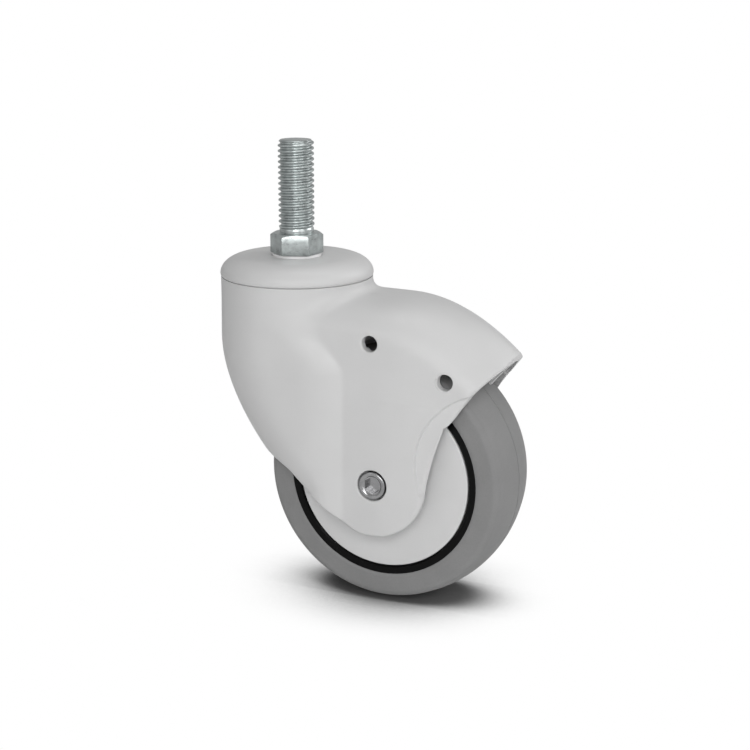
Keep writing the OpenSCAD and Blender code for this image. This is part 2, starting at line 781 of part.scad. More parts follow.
module upper_outer_ring() { color(steel) at_swivel(upper_z) outer_ring_shape(); }
module upper_inner_ring() { color(steel) at_swivel(upper_z) inner_ring_shape(); }
module upper_cage() { color(brass) at_swivel(upper_z) cage_shape(); }
module upper_balls() { color(steel) at_swivel(upper_z) balls_shape(); }
module lower_outer_ring() { color(steel) at_swivel(lower_z) outer_ring_shape(); }
module lower_inner_ring() { color(steel) at_swivel(lower_z) inner_ring_shape(); }
module lower_cage() { color(brass) at_swivel(lower_z) cage_shape(); }
module lower_balls() { color(steel) at_swivel(lower_z) balls_shape(); }
module near_outer_ring() { color(steel) at_axle(near_y) outer_ring_shape(); }
module near_inner_ring() { color(steel) at_axle(near_y) inner_ring_shape(); }
module near_cage() { color(brass) at_axle(near_y) cage_shape(); }
module near_balls() { color(steel) at_axle(near_y) balls_shape(); }
module far_outer_ring() { color(steel) at_axle(far_y) outer_ring_shape(); }
module far_inner_ring() { color(steel) at_axle(far_y) inner_ring_shape(); }
module far_cage() { color(brass) at_axle(far_y) cage_shape(); }
module far_balls() { color(steel) at_axle(far_y) balls_shape(); }

stem();
cap();
neck_seal();
housing();
upper_outer_ring();
upper_inner_ring();
upper_cage();
upper_balls();
lower_outer_ring();
lower_inner_ring();
lower_cage();
lower_balls();
outer_spacer();
inner_spacer();
retaining_washer();
retaining_ring();
wheel_core();
tyre();
near_cover();
far_cover();
near_outer_ring();
near_inner_ring();
near_cage();
near_balls();
far_outer_ring();
far_inner_ring();
far_cage();
far_balls();
hub_spacer();
near_bush();
far_bush();
axle_tube();
axle_screws();
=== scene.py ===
import json
import math

import bpy
from mathutils import Matrix, Vector


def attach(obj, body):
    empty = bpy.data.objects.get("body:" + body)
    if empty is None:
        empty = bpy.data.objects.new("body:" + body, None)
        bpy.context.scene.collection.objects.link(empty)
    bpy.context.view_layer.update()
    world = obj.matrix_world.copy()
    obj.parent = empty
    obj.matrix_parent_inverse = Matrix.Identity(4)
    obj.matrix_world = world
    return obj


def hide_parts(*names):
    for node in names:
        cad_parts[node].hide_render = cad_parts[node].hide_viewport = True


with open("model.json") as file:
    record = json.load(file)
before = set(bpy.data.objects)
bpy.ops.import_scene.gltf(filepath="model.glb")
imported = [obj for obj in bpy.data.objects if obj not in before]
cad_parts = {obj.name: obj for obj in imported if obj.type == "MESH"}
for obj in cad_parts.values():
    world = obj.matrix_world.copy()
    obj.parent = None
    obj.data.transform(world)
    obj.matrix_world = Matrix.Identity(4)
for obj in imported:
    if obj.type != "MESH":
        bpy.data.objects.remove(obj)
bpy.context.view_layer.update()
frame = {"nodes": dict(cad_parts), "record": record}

mm = 0.001
print("frame loaded:", len(frame["nodes"]), "nodes")


# small helpers for modelling

def deselectAll():
    if bpy.context.object and bpy.context.object.mode != "OBJECT":
        bpy.ops.object.mode_set(mode="OBJECT")
    bpy.ops.object.select_all(action="DESELECT")


def workOn(piece):
    deselectAll()
    piece.select_set(True)
    bpy.context.view_layer.objects.active = piece


def nameIt(name):
    piece = bpy.context.object
    piece.name = name
    piece.data.name = name
    return piece


def applyModifier(piece, kind, **settings):
    workOn(piece)
    modifier = piece.modifiers.new(kind.lower(), kind)
    for key, value in settings.items():
        setattr(modifier, key, value)
    bpy.ops.object.modifier_apply(modifier=modifier.name)


def cleanUp(piece, distance=0.004 * mm):
    workOn(piece)
    bpy.ops.object.mode_set(mode="EDIT")
    bpy.ops.mesh.select_all(action="SELECT")
    bpy.ops.mesh.remove_doubles(threshold=distance)
    bpy.ops.mesh.delete_loose()
    bpy.ops.mesh.select_all(action="SELECT")
    bpy.ops.mesh.normals_make_consistent(inside=False)
    bpy.ops.object.mode_set(mode="OBJECT")


def smoothShade(piece, degrees=35):
    workOn(piece)
    bpy.ops.object.shade_smooth_by_angle(angle=math.radians(degrees))


def spinProfile(name, profile, steps=160):
    # a ring of points is laid on the profile (radius, height in mm) and spun about Z
    deselectAll()
    bpy.ops.mesh.primitive_circle_add(vertices=len(profile), radius=mm)
    piece = nameIt(name)
    for vertex, (radius, height) in zip(piece.data.vertices, profile):
        vertex.co = (radius * mm, 0, height * mm)
    bpy.ops.object.mode_set(mode="EDIT")
    bpy.ops.mesh.select_all(action="SELECT")
    bpy.ops.mesh.spin(steps=steps, angle=math.tau, center=(0, 0, 0), axis=(0, 0, 1))
    bpy.ops.object.mode_set(mode="OBJECT")
    cleanUp(piece)
    return piece


def arcPoints(centre, radius, fromDegrees, toDegrees, count):
    points = []
    for i in range(count + 1):
        angle = math.radians(fromDegrees + (toDegrees - fromDegrees) * i / count)
        points.append((centre[0] + radius * math.cos(angle), centre[1] + radius * math.sin(angle)))
    return points


def ontoAxle(piece, side=1):
    # turns a piece made about Z onto the axle, its top towards +Y (side 1) or -Y (side -1)
    turn = Matrix.Rotation(math.radians(-90 * side), 4, "X")
    place = Matrix.Translation((castor["axleX"] * mm, 0, castor["axleZ"] * mm))
    piece.data.transform(place @ turn)


def cutWith(piece, cutter, operation="DIFFERENCE"):
    applyModifier(piece, "BOOLEAN", operation=operation, object=cutter, solver="MANIFOLD")
    bpy.data.objects.remove(cutter)
    print("  cut", piece.name, len(piece.data.polygons), "faces")


def smoothStep(value):
    value = min(1, max(0, value))
    return value * value * (3 - 2 * value)


def mix(a, b, share):
    return a + (b - a) * share


def clamp(value, low, high):
    return max(low, min(high, value))


# shader helpers

class Socket:
    # wraps a node socket so that masks can be written as plain expressions
    def __init__(self, shader, link):
        self.shader, self.link = shader, link

    def maths(self, operation, *values):
        return self.shader.node("ShaderNodeMath", {"operation": operation}, dict(enumerate(values)))

    def __add__(self, other): return self.maths("ADD", self, other)
    def __radd__(self, other): return self.maths("ADD", other, self)
    def __sub__(self, other): return self.maths("SUBTRACT", self, other)
    def __rsub__(self, other): return self.maths("SUBTRACT", other, self)
    def __mul__(self, other): return self.maths("MULTIPLY", self, other)
    def __rmul__(self, other): return self.maths("MULTIPLY", other, self)
    def __truediv__(self, other): return self.maths("DIVIDE", self, other)


class Shader:
    def __init__(self, name):
        self.material = bpy.data.materials.new(name)
        self.material.use_nodes = True
        self.tree = self.material.node_tree
        self.tree.nodes.clear()
        self.output = self.tree.nodes.new("ShaderNodeOutputMaterial")
        self.place = self.node("ShaderNodeTexCoord", {}, {}, "Object")

    def node(self, kind, settings, inputs, output=0):
        made = self.tree.nodes.new(kind)
        for key, value in settings.items():
            if key == "stops":
                ramp = made.color_ramp
                while len(ramp.elements) < len(value):
                    ramp.elements.new(0.5)
                for element, (position, colour) in zip(ramp.elements, value):
                    element.position = position
                    element.color = colour if hasattr(colour, "__len__") else (colour, colour, colour, 1)
            else:
                setattr(made, key, value)
        for key, value in inputs.items():
            if isinstance(value, Socket):
                self.tree.links.new(value.link, made.inputs[key])
            else:
                made.inputs[key].default_value = value
        return Socket(self, made.outputs[output])

    def noise(self, scale, detail=3, roughness=0.55, vector=None):
        return self.node("ShaderNodeTexNoise", {}, {
            "Vector": vector or self.place, "Scale": scale, "Detail": detail, "Roughness": roughness})

    def blend(self, share, first, second):
        return self.node("ShaderNodeMix", {"data_type": "RGBA"}, {0: share, 6: first, 7: second}, 2)

    def spread(self, value, low, high, toLow, toHigh, curve="LINEAR"):
        return self.node("ShaderNodeMapRange", {"interpolation_type": curve}, {
            "Value": value, "From Min": low, "From Max": high, "To Min": toLow, "To Max": toHigh})

    def bump(self, height, strength, distance):
        return self.node("ShaderNodeBump", {}, {"Height": height, "Strength": strength, "Distance": distance})

    def finish(self, inputs):
        surface = self.node("ShaderNodeBsdfPrincipled", {}, inputs)
        self.tree.links.new(surface.link, self.output.inputs["Surface"])
        return self.material


def grey(value):
    return (value, value, value, 1)


def mouldedPlastic(name, look):
    # satin moulding: cloudy tone, fine spark-eroded grain, and faint rubs that shine a little more
    s = Shader(name)
    cloud = s.noise(look["cloudScale"], 2)
    grain = s.noise(look["grainScale"], 4, 0.65)
    rub = s.noise(look["rubScale"], 5, 0.7)
    tone = s.spread(cloud * 0.7 + grain * 0.3, 0.3, 0.7, 0, 1)
    colour = s.blend(tone, grey(look["dark"]), grey(look["light"]))
    rough = s.spread(rub, 0.35, 0.7, look["roughness"] - 0.05, look["roughness"] + 0.06)
    normal = s.bump(grain, look["grainStrength"], 0.03 * mm)
    return s.finish({
        "Base Color": colour, "Roughness": rough, "Normal": normal,
        "IOR": 1.47, "Specular IOR Level": look["specular"]})


def platedSteel(name, look):
    # zinc or nickel plate: fine turning marks across the height, soft blotches of the passivation
    s = Shader(name)
    blotch = s.noise(look["blotchScale"], 4, 0.6)
    stretched = s.node("ShaderNodeMapping", {}, {"Vector": s.place, "Scale": look["streak"]})
    streak = s.noise(1, 3, 0.6, stretched)
    colour = s.blend(s.spread(blotch, 0.35, 0.65, 0, 1), look["first"], look["second"])
    rough = s.spread(streak * 0.6 + blotch * 0.4, 0.35, 0.65, look["roughness"] - 0.06, look["roughness"] + 0.08)
    normal = s.bump(streak, look["streakStrength"], 0.02 * mm)
    return s.finish({"Base Color": colour, "Metallic": 1.0, "Roughness": rough, "Normal": normal})


def greyRubber(name, look):
    # non-marking rubber: matt, with a pale cloudy bloom and a fine dusty speckle
    s = Shader(name)
    bloom = s.noise(look["bloomScale"], 4, 0.6)
    speck = s.noise(look["speckScale"], 3, 0.6)
    tone = s.spread(bloom * 0.65 + speck * 0.35, 0.32, 0.68, 0, 1)
    colour = s.blend(tone, grey(look["dark"]), grey(look["light"]))
    rough = s.spread(bloom, 0.3, 0.7, look["roughness"] - 0.06, look["roughness"] + 0.05)
    normal = s.bump(speck, look["speckStrength"], 0.05 * mm)
    return s.finish({"Base Color": colour, "Roughness": rough, "Normal": normal, "Specular IOR Level": 0.4})


# sizes shared by the pieces, in mm, as in the source

castor = {
    "axleX": 36.6,
    "axleZ": -75.2,
    "seamZ": -14.0,
    "floorZ": -116.7,
    "slotR": 44.5,
    "slotY": 15.5,
}


# materials

finishes = {
    "housingGrey": mouldedPlastic("housingGrey", {
        "dark": 0.575, "light": 0.615, "roughness": 0.46, "specular": 0.4,
        "cloudScale": 45, "grainScale": 2600, "rubScale": 120, "grainStrength": 0.16}),
    "capGrey": mouldedPlastic("capGrey", {
        "dark": 0.575, "light": 0.61, "roughness": 0.44, "specular": 0.4,
        "cloudScale": 60, "grainScale": 2600, "rubScale": 140, "grainStrength": 0.14}),
    "coverGrey": mouldedPlastic("coverGrey", {
        "dark": 0.6, "light": 0.64, "roughness": 0.42, "specular": 0.4,
        "cloudScale": 50, "grainScale": 2400, "rubScale": 110, "grainStrength": 0.14}),
    "sealWhite": mouldedPlastic("sealWhite", {
        "dark": 0.7, "light": 0.76, "roughness": 0.35, "specular": 0.5,
        "cloudScale": 90, "grainScale": 2600, "rubScale": 160, "grainStrength": 0.1}),
    "coreBlack": mouldedPlastic("coreBlack", {
        "dark": 0.001, "light": 0.002, "roughness": 0.24, "specular": 0.12,
        "cloudScale": 70, "grainScale": 1800, "rubScale": 130, "grainStrength": 0.05}),
    "tyreGrey": greyRubber("tyreGrey", {
        "dark": 0.205, "light": 0.245, "roughness": 0.6,
        "bloomScale": 55, "speckScale": 2100, "speckStrength": 0.22}),
    "stemZinc": platedSteel("stemZinc", {
        "first": (0.36, 0.385, 0.385, 1), "second": (0.5, 0.54, 0.535, 1), "roughness": 0.31,
        "blotchScale": 420, "streak": (180, 180, 2600), "streakStrength": 0.12}),
    "screwNickel": platedSteel("screwNickel", {
        "first": (0.27, 0.27, 0.275, 1), "second": (0.38, 0.38, 0.385, 1), "roughness": 0.2,
        "blotchScale": 300, "streak": (900, 60, 900), "streakStrength": 0.06}),
    "bearingSteel": platedSteel("bearingSteel", {
        "first": (0.6, 0.6, 0.62, 1), "second": (0.72, 0.72, 0.74, 1), "roughness": 0.16,
        "blotchScale": 200, "streak": (700, 700, 700), "streakStrength": 0.03}),
    "cageBrass": platedSteel("cageBrass", {
        "first": (0.58, 0.4, 0.16, 1), "second": (0.7, 0.5, 0.22, 1), "roughness": 0.3,
        "blotchScale": 350, "streak": (500, 500, 500), "streakStrength": 0.05}),
    "ringBlack": platedSteel("ringBlack", {
        "first": (0.05, 0.05, 0.055, 1), "second": (0.09, 0.09, 0.095, 1), "roughness": 0.38,
        "blotchScale": 300, "streak": (500, 500, 500), "streakStrength": 0.05}),
}
print("materials made:", len(finishes))


def dress(piece, finish, body, slot, *nodes):
    piece.data.materials.clear()
    piece.data.materials.append(finishes[finish])
    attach(piece, body)
    if nodes:
        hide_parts(*nodes)


nodeFinish = {
    "zinc_steel": "stemZinc",
    "grey_plastic": "housingGrey",
    "cap_plastic": "capGrey",
    "seal_plastic": "sealWhite",
    "tyre": "tyreGrey",
    "black_plastic": "coreBlack",
    "bearing_steel": "bearingSteel",
    "cage_brass": "cageBrass",
    "spring_steel": "ringBlack",
    "bright_steel": "screwNickel",
}
for entry in frame["record"]["subparts"]:
    carried = frame["nodes"][entry["node"]]
    for materialSlot in carried.material_slots:
        materialSlot.material = finishes[nodeFinish[entry["material_slot"]]]


# housing: the moulded fork

housing = {
    "headR": 24.8, "cheekY": 22.2, "tipY": 19.3,
    "noseTop": -18, "noseEnd": 5, "noseRake": 20, "noseCurve": 1.9,
    "backTop": -7, "shoulder": -26, "creaseX": 26.3, "crease": 0.4, "foldSoft": 3,
    "flare": 1.2, "flareTop": -7, "taper": 1.5, "fillet": 3.5,
    "guardR": 57.8, "arch": 14.8, "archAtHead": 11.5, "tipSoft": 5.0,
    "lobeR": 17, "rearR": 68, "rearAngle": -7.9, "frontR": 154, "frontAngle": 57,
    "crescentR": 24.3, "crescentX": 38.3, "crescentZ": 8.2, "crescentDepth": 1.05, "crescentBlur": 0.64,
    "ridgeZ": -47.0, "ridgeHigh": 0.14, "ridgeWide": 0.8, "edge": 1.2,
    "ribT": 1.8, "guardWall": 2.6,
}


class Fork:
    # outline and half width of the housing, the same formulas as the source
    def __init__(self, size):
        self.size = size
        self.ax, self.az, self.seam = castor["axleX"], castor["axleZ"], castor["seamZ"]
        rear, front = math.radians(size["rearAngle"]), math.radians(size["frontAngle"])
        lobe = size["lobeR"]
        reach = size["rearR"] + lobe
        self.rearC = (reach * math.cos(rear), reach * math.sin(rear))
        self.frontC = ((size["frontR"] - lobe) * math.cos(front), (size["frontR"] - lobe) * math.sin(front))
        self.frontJoin = self.az - lobe * math.sin(front)
        self.rearJoin = self.az + lobe * math.sin(rear)
        guard = size["guardR"]
        turn = math.acos((guard ** 2 + reach ** 2 - size["rearR"] ** 2) / (2 * guard * reach))
        self.tipAngle = rear + turn
        self.tipZ = self.az + guard * math.sin(self.tipAngle)
        self.bottom = self.az - lobe
        self.roof = self.az + guard
        self.noseTop = self.seam + size["noseTop"]
        self.noseEnd = self.az + size["noseEnd"]
        self.backTop = self.seam + size["backTop"]
        self.shoulder = self.seam + size["shoulder"]
        self.flareTop = self.seam + size["flareTop"]

    def lobeDx(self, z):
        return math.sqrt(max(0, self.size["lobeR"] ** 2 - (z - self.az) ** 2))

    def rearCut(self, z):
        if z < self.rearJoin:
            return self.ax + self.lobeDx(z)
        up = z - self.az - self.rearC[1]
        return self.ax + self.rearC[0] - math.sqrt(max(0, self.size["rearR"] ** 2 - up ** 2))

    def frontCut(self, z):
        if z < self.frontJoin:
            return self.ax - self.lobeDx(z)
        up = z - self.az - self.frontC[1]
        return self.ax + self.frontC[0] - math.sqrt(self.size["frontR"] ** 2 - up ** 2)

    def rearX(self, z):
        if z >= self.roof:
            return self.solve(lambda x: self.gap(x, 0, z), 60)
        guard = self.ax + math.sqrt(max(0, self.size["guardR"] ** 2 - (z - self.az) ** 2))
        cut, soft = self.rearCut(z), self.size["tipSoft"]
        return min(guard, cut) - max(0, soft - abs(guard - cut)) ** 2 / (4 * soft)

    def noseX(self, z):
        down = clamp((self.noseTop - z) / (self.noseTop - self.az), 0, 1.1)
        return self.size["noseRake"] * down ** self.size["noseCurve"]

    def backX(self, z):
        # the column's back curve meets the cheek in a crease that stays upright below the shoulder
        share = self.size["cheekY"] / self.sideY(min(z, self.shoulder))
        centre = self.size["creaseX"] - self.size["headR"] * math.sqrt(max(0, 1 - share ** 2))
        return centre * smoothStep((self.backTop - z) / (self.backTop - self.shoulder))

    def frontX(self, z):
        nose = self.noseX(z) - self.size["headR"]
        return mix(nose, self.frontCut(z), smoothStep((self.noseEnd + 5 - z) / 9))

    def sideY(self, z):
        flare = self.size["flare"] * clamp((self.flareTop - z) / (self.flareTop - self.shoulder), 0, 1)
        taper = self.size["taper"] * clamp((self.shoulder - z) / (self.shoulder - self.bottom), 0, 1)
        return self.size["headR"] + flare - taper

    def columnGap(self, x, y, z):
        head = self.size["headR"]
        front, back = self.noseX(z) - x, x - self.backX(z)
        soft = self.size["foldSoft"] * smoothStep((self.shoulder - z) / 12)
        off = max((front + back + math.sqrt((front - back) ** 2 + soft ** 2)) / 2, 0)
        return (math.hypot(off / head, y / self.sideY(z)) - 1) * head

    def guardGap(self, x, y, z):
        # boxy section at the head, pointed arch at the tip
        guard = self.size["guardR"]
        distance = math.hypot(x - self.ax, z - self.az)
        angle = math.degrees(math.atan2(z - self.az, x - self.ax))
        box = smoothStep((angle - 48) / 56)
        depth, power = mix(self.size["arch"], self.size["archAtHead"], box), mix(1.7, 2.6, box)
        crown = guard / math.sin(math.radians(clamp(angle, 90, 150))) if angle > 90 else guard
        u = max(0, (distance - crown + depth) / depth)
        panel = mix(self.size["cheekY"], self.size["tipY"], smoothStep((x - self.ax) / (0.55 * guard)))
        return ((u ** power + (y / panel) ** power) ** (1 / power) - 1) * mix(panel, depth, min(1, u))

    def gap(self, x, y, z):
        # column and guard in one, with a wide fillet where the guard leaves the head
        column = self.columnGap(x, y, z)
        if x < self.backX(z):
            return column
        guard = self.guardGap(x, y, z)
        wide = mix(self.size["crease"], self.size["fillet"], smoothStep((z - self.seam + 22) / 14))
        soft = wide * smoothStep((x - self.backX(z)) / 8) + 0.01
        return min(column, guard) - max(0, soft - abs(column - guard)) ** 2 / (4 * soft)

    def solve(self, side, high):
        low = 0
        for step in range(18):
            middle = (low + high) / 2
            low, high = (middle, high) if side(middle) < 0 else (low, middle)
        return (low + high) / 2

    def arcX(self, z, offset=0):
        # crescent's edge at this height, pushed outward by the offset
        radius = self.size["crescentR"] + offset
        up = z - self.az - self.size["crescentZ"]
        return self.ax + self.size["crescentX"] - math.sqrt(max(0, radius ** 2 - up ** 2))

    def crescent(self, x, z):
        # shallow recess between the cheek and the rear edge
        away = math.hypot(x - self.ax - self.size["crescentX"], z - self.az - self.size["crescentZ"])
        inside = self.size["crescentR"] - away
        return self.size["crescentDepth"] * smoothStep(inside / self.size["crescentBlur"] + 0.5)

    def ridge(self, x, z):
        # faint raised line across the cheek from above the axle to the recess
        away = z - self.size["ridgeZ"] + max(0, x - 38) ** 2 * 0.0058
        along = smoothStep((x - 34) / 8) * smoothStep((66 - x) / 6)
        return self.size["ridgeHigh"] * along * math.exp(-(away / self.size["ridgeWide"]) ** 2)

    def drop(self, distance):
        # how far the rounded edge has fallen at this distance from the outline
        edge = self.size["edge"]
        return 0 if distance >= edge else edge - math.sqrt(edge ** 2 - (edge - max(0, distance)) ** 2)

    def halfY(self, x, z):
        whole = self.solve(lambda y: self.gap(x, y, z), 30)
        edge = self.size["edge"]
        front = rear = edge
        legTop = self.noseEnd + 2
        if z <= legTop:
            front = (x - self.frontX(z)) * mix(1.3, 0.72, smoothStep((legTop - z) / 3))
        if z < self.tipZ:
            rear = (self.rearX(z) - x) * 0.8
        low = z - self.bottom
        return max(0.1, whole - self.drop(min(front, rear, low)) - self.crescent(x, z) + self.ridge(x, z))

    def rows(self):
        # heights of the skin's rows, close together where the surface turns quickly
        guard, tipAngle, ridgeTop, ridgeEnd = self.size["guardR"], math.degrees(self.tipAngle), -40, -53
        rows = [mix(self.seam, self.roof, math.sin(math.radians(i * 90 / 12.4))) for i in range(13)]
        rows += [self.az + guard * math.sin(math.radians(mix(88.8, tipAngle, i / 46))) for i in range(47)]
        rows += [mix(self.tipZ, ridgeTop, i / 16) for i in range(1, 16)]
        rows += [mix(ridgeTop, ridgeEnd, i / 32) for i in range(32)]
        rows += [mix(ridgeEnd, self.noseEnd + 5.5, i / 20) for i in range(20)]
        rows += [mix(self.noseEnd + 5.5, self.noseEnd - 4, i / 22) for i in range(23)]
        rows += [self.az + 0.5, self.az]
        rows += [self.az - self.size["lobeR"] * math.sin(math.radians(i * 86.5 / 34)) for i in range(1, 35)]
        return rows

    def columns(self, z):
        # places along X in one row, close together at both ends, at the crease and at the crescent's edge
        if z >= self.roof:
            # above the crown the columns keep their places along the head's sides
            below, end = self.columns(self.roof - 0.01), self.rearX(z)
            keep = end - mix(0.5, 2.6, smoothStep((z - self.roof) / 1.5))
            return [x if x < keep else mix(keep, end, (x - keep) / (below[-1] - keep)) for x in below]
        share = min(1, (self.rearX(z) - self.frontX(z)) / 12)
        near = [share * step for step in (0, 0.06, 0.2, 0.45, 0.8, 1.2, 1.7, 2.3)]
        x0, x3 = self.frontX(z) + near[-1], self.rearX(z) - near[-1]
        length = x3 - x0
        x1 = clamp(self.noseX(z), x0 + 0.1 * length, x0 + 0.6 * length)
        meet = min(self.size["creaseX"], self.backX(z) + 11.2)
        x2 = clamp(meet, x1 + 0.2 * length, x3 - 0.2 * length)
        start = math.acos(clamp((x1 - x0) / self.size["headR"], 0.05, 1))
        fold = 0.06 * length
        turn = [math.cos(mix(start, math.pi / 2, i / 20)) / math.cos(start) for i in range(20)]
        columns = [self.frontX(z) + step for step in near[:-1]]
        columns += [x1 - (x1 - x0) * share for share in turn]
        columns += [mix(x1, x2 - fold, i / 12) for i in range(12)]
        columns += [x2 - fold + 2 * fold * i / 12 for i in range(12)]
        arcs = [self.arcX(z, offset) for offset in (0.6, 0.32, 0.2, 0.08, -0.08, -0.2, -0.32, -0.6)]
        first, last = x2 + fold + 1.5, x3 - 1.5
        if last < first:
            first = last = (first + last) / 2
        arcs = [clamp(arc, first + 0.02 * i, last - 0.02 * (7 - i)) for i, arc in enumerate(arcs)]
        columns += [mix(x2 + fold, arcs[0], i / 20) for i in range(20)] + arcs
        columns += [arcs[-1] + (x3 - arcs[-1]) * math.sin(math.radians(i * 90 / 14)) for i in range(1, 15)]
        columns += [self.rearX(z) - step for step in reversed(near[:-1])]
        return columns


def housingSkin(fork):
    points, faces = [], []
    rows = fork.rows()
    for z in rows:
        xs = fork.columns(z)
        ys = [fork.halfY(x, z) for x in xs]
        points += [(x * mm, -y * mm, z * mm) for x, y in zip(xs, ys)]
        points += [(x * mm, y * mm, z * mm) for x, y in zip(reversed(xs), reversed(ys))]
    loop = len(points) // len(rows)
    for r in range(len(rows) - 1):
        for c in range(loop):
            d = (c + 1) % loop
            faces.append((r * loop + d, r * loop + c, (r + 1) * loop + c, (r + 1) * loop + d))
    faces.append(tuple(range(loop)))
    faces.append(tuple((len(rows) - 1) * loop + c for c in reversed(range(loop))))
    mesh = bpy.data.meshes.new("housingShell")
    mesh.from_pydata(points, [], faces)
    piece = bpy.data.objects.new("housingShell", mesh)
    bpy.context.scene.collection.objects.link(piece)
    cleanUp(piece, 0.001 * mm)
    return piece


def guardHollow():
    # room inside the guard on both sides of its middle rib
    roof = housing["guardR"] - housing["guardWall"]
    start = housing["guardR"] - housing["arch"]
    wide = housing["tipY"] - housing["guardWall"]
    rib = housing["ribT"] / 2
    side = []
    for i in range(17):
        r = mix(castor["slotR"] - 1, roof, math.sin(math.radians(i * 90 / 16)))
        u = clamp((r - start) / (roof - start), 0, 1)
        side.append((r, wide * (1 - u ** 1.7) ** (1 / 1.7)))
    halves = []
    for way in (1, -1):
        # each half stops short of the rib, and only its quarter behind the head is kept
        profile = [(r, way * y) for r, y in side if y > rib]
        profile += [(roof - 0.05, way * rib), (side[0][0], way * rib)]
        half = spinProfile("hollow", profile, 256)
        ontoAxle(half)
        deselectAll()
        bpy.ops.mesh.primitive_cube_add(size=1)
        quarter = nameIt("quarter")
        quarter.data.transform(Matrix.Translation((0.079, 0, -0.0375)) @ Matrix.Diagonal((0.1, 0.1, 0.076, 1)))
        cutWith(half, quarter, "INTERSECT")
        halves.append(half)
    return halves


fork = Fork(housing)
housingShell = housingSkin(fork)
print("housing skin:", len(housingShell.data.polygons), "faces")

# slot for the wheel
slotR, slotY = castor["slotR"], castor["slotY"]
bay = spinProfile("bay", [(0, -slotY), (slotR, -slotY), (slotR, slotY), (0, slotY)], 256)
ontoAxle(bay)
cutWith(housingShell, bay)

# hollow on the inside of the two legs, around the axle's boss
legHollow = {"bossR": 8.4, "flatR": 31, "r": 43, "from": 15, "rim": 15.6, "floor": 18.8}
for side in (1, -1):
    h = legHollow
    profile = [(h["bossR"], h["from"]), (h["r"], h["from"]), (h["r"], h["rim"])]
    profile += [(h["flatR"], h["floor"]), (h["bossR"], h["floor"])]
    cutter = spinProfile("legHollow", [(r, side * y) for r, y in profile], 192)
    ontoAxle(cutter)
    cutWith(housingShell, cutter)
for half in guardHollow():
    cutWith(housingShell, half)


def roundedMouth(r, lip, face):
    # mouth of a hole with a rounded lip, and the way out to 3 mm above the face
    turn = [math.radians(a) for a in range(0, 91, 15)]
    mouth = [(r + lip - lip * math.cos(a), face - lip + lip * math.sin(a)) for a in turn]
    return mouth + [(r + lip, face + 3), (0, face + 3)]


# places are distance and angle from the axle; each hole widens behind the wall
accessoryHole = {"r": 2.6, "lip": 0.45, "wall": 2.6, "widen": 1.6, "from": 10.5, "places": [(46, 91), (42.6, 56.5)]}
for distance, angle in accessoryHole["places"]:
    x = castor["axleX"] + distance * math.cos(math.radians(angle))
    z = castor["axleZ"] + distance * math.sin(math.radians(angle))
    face = fork.halfY(x, z)
    r, wide, start = accessoryHole["r"], accessoryHole["r"] + accessoryHole["widen"], accessoryHole["from"]
    inner = face - accessoryHole["wall"]
    profile = [(0, start), (wide, start), (wide, inner), (r, inner)] + roundedMouth(r, accessoryHole["lip"], face)
    for side in (1, -1):
        cutter = spinProfile("hole", profile, 64)
        turn = Matrix.Rotation(math.radians(-90 * side), 4, "X")
        cutter.data.transform(Matrix.Translation((x * mm, 0, z * mm)) @ turn)
        cleanUp(cutter)
        cutWith(housingShell, cutter)

# bore for the swivel bearings, with the shoulder that carries them
boreProfile = [(0, -58), (11, -58), (11, -33.5), (13.02, -33.5), (13.02, -14.6), (13.6, -13), (0, -13)]
headBore = spinProfile("headBore", boreProfile, 128)
cutWith(housingShell, headBore)

screwSeat = {"r": 5.0, "lip": 0.5, "seat": 18.5, "shankR": 3.25, "tubeR": 5.02, "tubeTop": 17.02, "from": 12}
for side in (1, -1):
    s = screwSeat
    face = fork.halfY(castor["axleX"], castor["axleZ"])
    profile = [(0, s["from"]), (s["tubeR"], s["from"]), (s["tubeR"], s["tubeTop"]), (s["shankR"], s["tubeTop"])]
    profile += [(s["shankR"], s["seat"]), (s["r"], s["seat"])] + roundedMouth(s["r"], s["lip"], face)
    cutter = spinProfile("screwSeat", profile, 96)
    ontoAxle(cutter, side)
    cutWith(housingShell, cutter)
cleanUp(housingShell, 0.002 * mm)
smoothShade(housingShell, 34)
dress(housingShell, "housingGrey", "housing_body", "grey_plastic", "housing")
print("housing cut:", len(housingShell.data.polygons), "faces")


# cap and neck seal

capSize = {"r": 25.0, "top": -7.4, "round": 5.6, "squash": 1.45, "hole": 8.06, "neckR": 6.8, "wall": 2.2, "lipZ": -15.4}


def capProfile():
    s = capSize
    seam, top, ceiling = castor["seamZ"], s["top"], s["top"] - s["wall"]
    profile = [(24.2, seam + 0.02), (24.5, seam + 0.1), (24.72, seam + 0.32), (24.9, seam + 0.55)]
    for i in range(25):
        angle = math.radians(i * 90 / 24)
        inward, down = s["squash"] * (1 - math.cos(angle)), 1 - math.sin(angle)
        profile.append((s["r"] - s["round"] * inward, top - s["round"] * down))
    # seat of the neck seal, then the underside with the ring that holds the upper bearing down
    profile += [(12, top), (8.5, top), (8.2, top - 0.08), (s["hole"], top - 0.25)]
    profile += [(s["hole"], top - 1), (s["neckR"], top - 1), (s["neckR"], ceiling), (10.9, ceiling)]
    profile += [(11.1, s["lipZ"]), (12.9, s["lipZ"]), (12.9, ceiling), (16.9, ceiling)]
    return profile + [(21.4, seam + 2.2), (21.4, seam + 0.02)]


capShell = spinProfile("capShell", capProfile(), 192)
smoothShade(capShell, 40)
dress(capShell, "capGrey", "housing_body", "cap_plastic", "cap")

sealProfile = [(6.05, -8.4), (8.0, -8.4), (8.0, -7.1), (7.93, -6.88), (7.75, -6.75), (7.5, -6.7)]
sealProfile += [(6.5, -6.7), (6.2, -6.75), (6.05, -6.88)]
sealRing = spinProfile("sealRing", sealProfile, 128)
smoothShade(sealRing, 45)
dress(sealRing, "sealWhite", "housing_body", "seal_plastic", "neck_seal")
print("cap and seal done")


# stem: thread, hexagon, neck and shank

